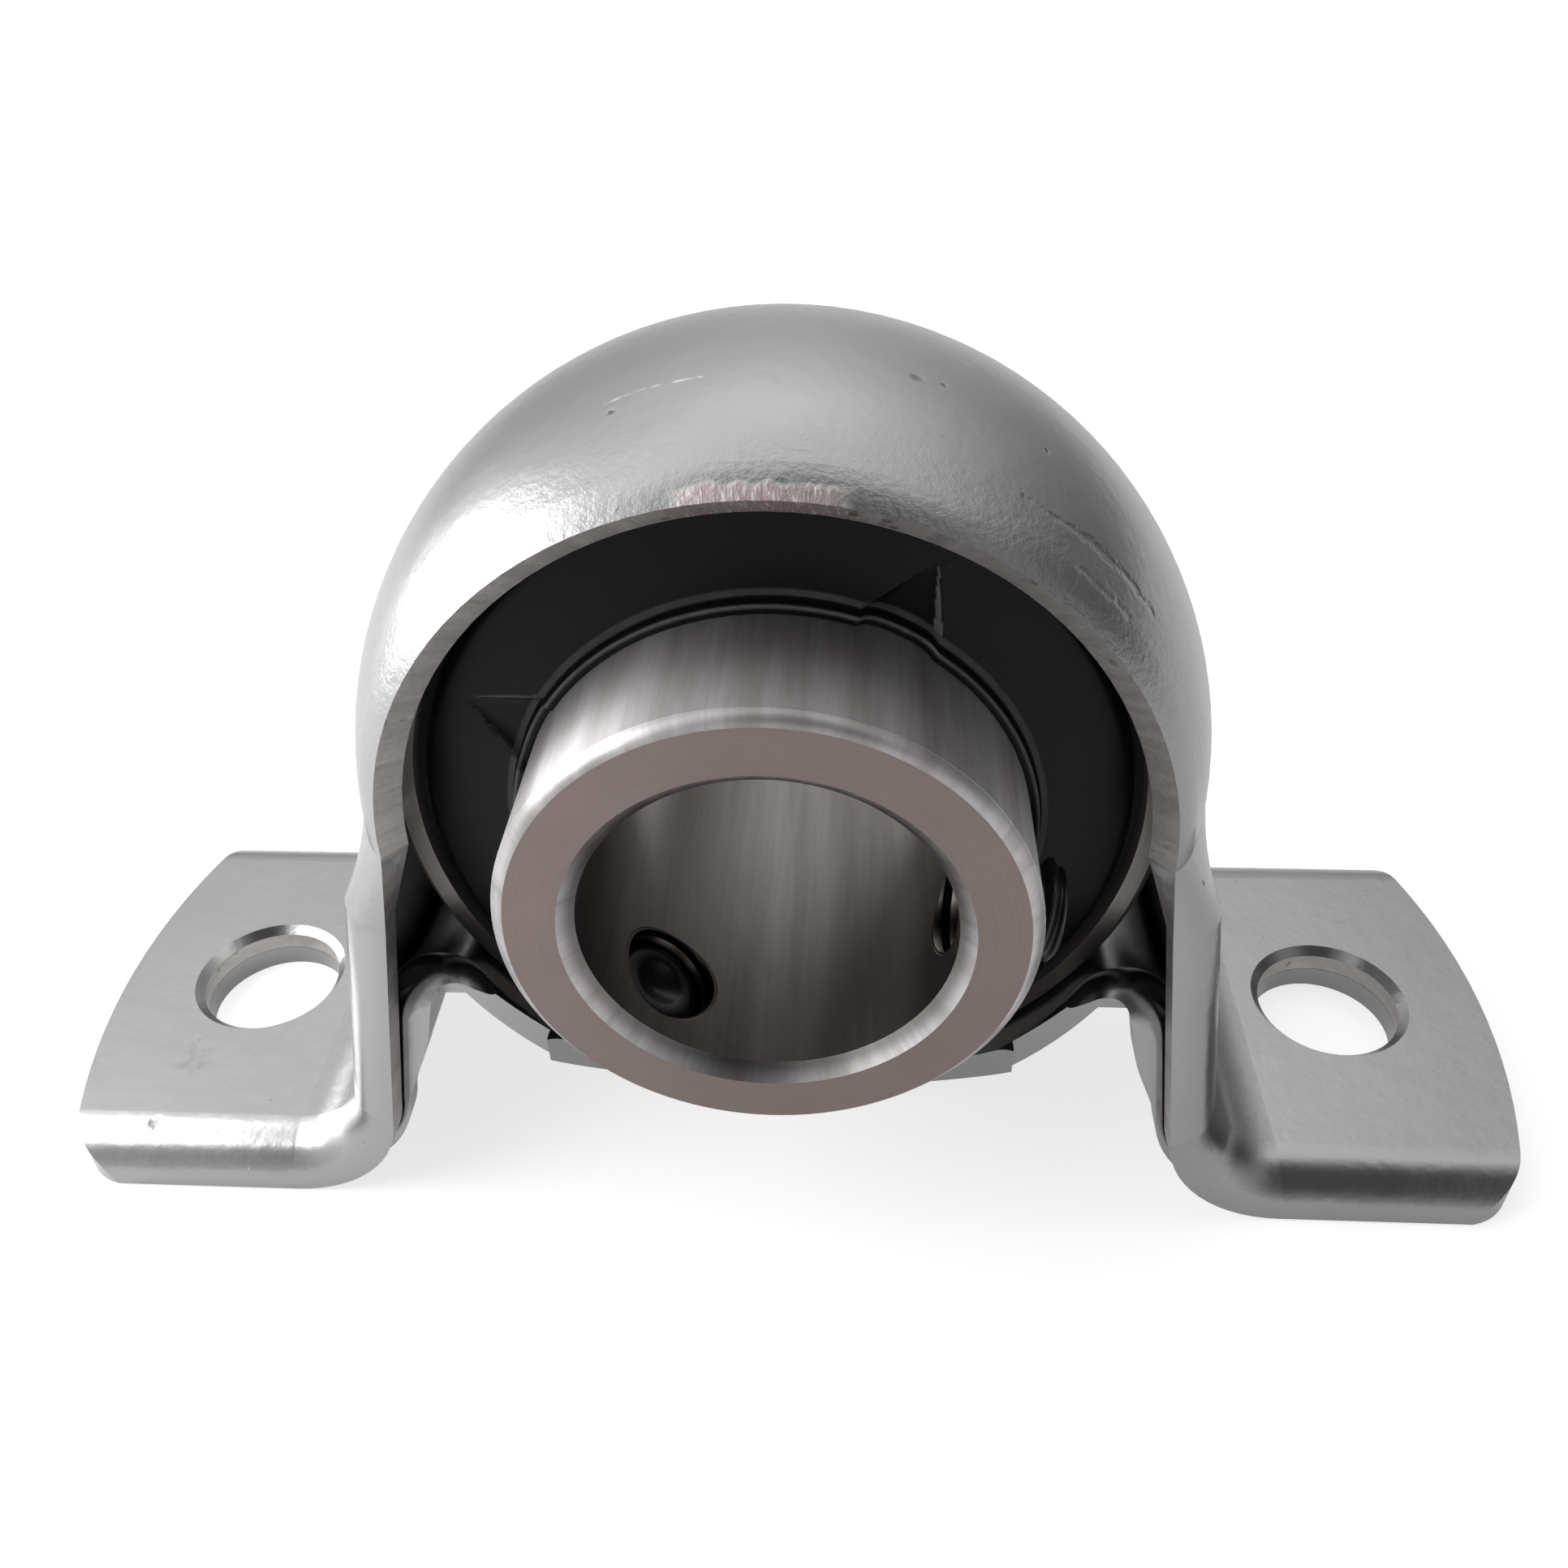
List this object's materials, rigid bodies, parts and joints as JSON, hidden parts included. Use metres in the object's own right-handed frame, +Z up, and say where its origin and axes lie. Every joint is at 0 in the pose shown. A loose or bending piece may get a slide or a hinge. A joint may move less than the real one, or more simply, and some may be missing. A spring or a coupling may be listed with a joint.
{
  "type": "pillow block bearing",
  "caption": "Pressed-steel pillow block with a self-aligning ball bearing insert that carries a rotating shaft, locked by set screws.",
  "frame": {"origin": "on the base plane, at the centre of the two foot holes", "axes": "+X along the base through both foot holes, +Y along the shaft towards the short side of the inner ring, +Z up from the base"},
  "size_m": [0.0966, 0.0343, 0.0507],
  "materials": {
    "zinc": "satin bright zinc plate",
    "ring_steel": "ground bearing steel",
    "ball_steel": "polished bearing steel",
    "cage_steel": "pressed steel",
    "seal_rubber": "matte",
    "slinger_black": "satin black oxide",
    "screw_black": "black oxide"
  },
  "bodies": {
    "housing": {"upper_housing": "zinc", "lower_housing": "zinc"},
    "outer_race": {"outer_ring": "ring_steel", "front_seal": "seal_rubber", "rear_seal": "seal_rubber"},
    "inner_race": {"inner_ring": "ring_steel", "front_slinger": "slinger_black", "rear_slinger": "slinger_black"},
    "cage": {"cage_front": "cage_steel", "cage_rear": "cage_steel", "cage_rivets": "cage_steel"},
    "screw_1": {"set_screw_1": "screw_black"},
    "screw_2": {"set_screw_2": "screw_black"},
    "ball_1": {"ball_1": "ball_steel"},
    "ball_2": {"ball_2": "ball_steel"},
    "ball_3": {"ball_3": "ball_steel"},
    "ball_4": {"ball_4": "ball_steel"},
    "ball_5": {"ball_5": "ball_steel"},
    "ball_6": {"ball_6": "ball_steel"},
    "ball_7": {"ball_7": "ball_steel"},
    "ball_8": {"ball_8": "ball_steel"}
  },
  "joints": [
    {"name": "self_align", "type": "hinge", "parent": "housing", "child": "outer_race", "pos_m": [0, 0, 0.0254], "axis": [1, 0, 0], "range_deg": [-3, 3]},
    {"name": "shaft_spin", "type": "hinge", "parent": "outer_race", "child": "inner_race", "pos_m": [0, 0, 0.0254], "axis": [0, 1, 0], "continuous": true},
    {"name": "cage_orbit", "type": "hinge", "parent": "outer_race", "child": "cage", "pos_m": [0, 0, 0.0254], "axis": [0, 1, 0], "continuous": true},
    {"name": "ball_1_spin", "type": "hinge", "parent": "cage", "child": "ball_1", "pos_m": [0, 0, 0.04215], "axis": [0, 1, 0], "continuous": true},
    {"name": "ball_2_spin", "type": "hinge", "parent": "cage", "child": "ball_2", "pos_m": [-0.01184, 0, 0.03724], "axis": [0, 1, 0], "continuous": true},
    {"name": "ball_3_spin", "type": "hinge", "parent": "cage", "child": "ball_3", "pos_m": [-0.01675, 0, 0.0254], "axis": [0, 1, 0], "continuous": true},
    {"name": "ball_4_spin", "type": "hinge", "parent": "cage", "child": "ball_4", "pos_m": [-0.01184, 0, 0.01356], "axis": [0, 1, 0], "continuous": true},
    {"name": "ball_5_spin", "type": "hinge", "parent": "cage", "child": "ball_5", "pos_m": [0, 0, 0.00865], "axis": [0, 1, 0], "continuous": true},
    {"name": "ball_6_spin", "type": "hinge", "parent": "cage", "child": "ball_6", "pos_m": [0.01184, 0, 0.01356], "axis": [0, 1, 0], "continuous": true},
    {"name": "ball_7_spin", "type": "hinge", "parent": "cage", "child": "ball_7", "pos_m": [0.01675, 0, 0.0254], "axis": [0, 1, 0], "continuous": true},
    {"name": "ball_8_spin", "type": "hinge", "parent": "cage", "child": "ball_8", "pos_m": [0.01184, 0, 0.03724], "axis": [0, 1, 0], "continuous": true},
    {"name": "set_screw_1_slide", "type": "slide", "parent": "inner_race", "child": "screw_1", "axis": [-0.6225, 0, -0.7826], "range_m": [-0.0008, 0.0025]},
    {"name": "set_screw_2_slide", "type": "slide", "parent": "inner_race", "child": "screw_2", "axis": [0.989, 0, -0.1478], "range_m": [-0.0008, 0.0025]}
  ],
  "couplings": [
    {"joint": "cage_orbit", "follows": "shaft_spin", "ratio": 0.38152},
    {"joint": "ball_1_spin", "follows": "shaft_spin", "ratio": -1.9916},
    {"joint": "ball_2_spin", "follows": "shaft_spin", "ratio": -1.9916},
    {"joint": "ball_3_spin", "follows": "shaft_spin", "ratio": -1.9916},
    {"joint": "ball_4_spin", "follows": "shaft_spin", "ratio": -1.9916},
    {"joint": "ball_5_spin", "follows": "shaft_spin", "ratio": -1.9916},
    {"joint": "ball_6_spin", "follows": "shaft_spin", "ratio": -1.9916},
    {"joint": "ball_7_spin", "follows": "shaft_spin", "ratio": -1.9916},
    {"joint": "ball_8_spin", "follows": "shaft_spin", "ratio": -1.9916}
  ]
}
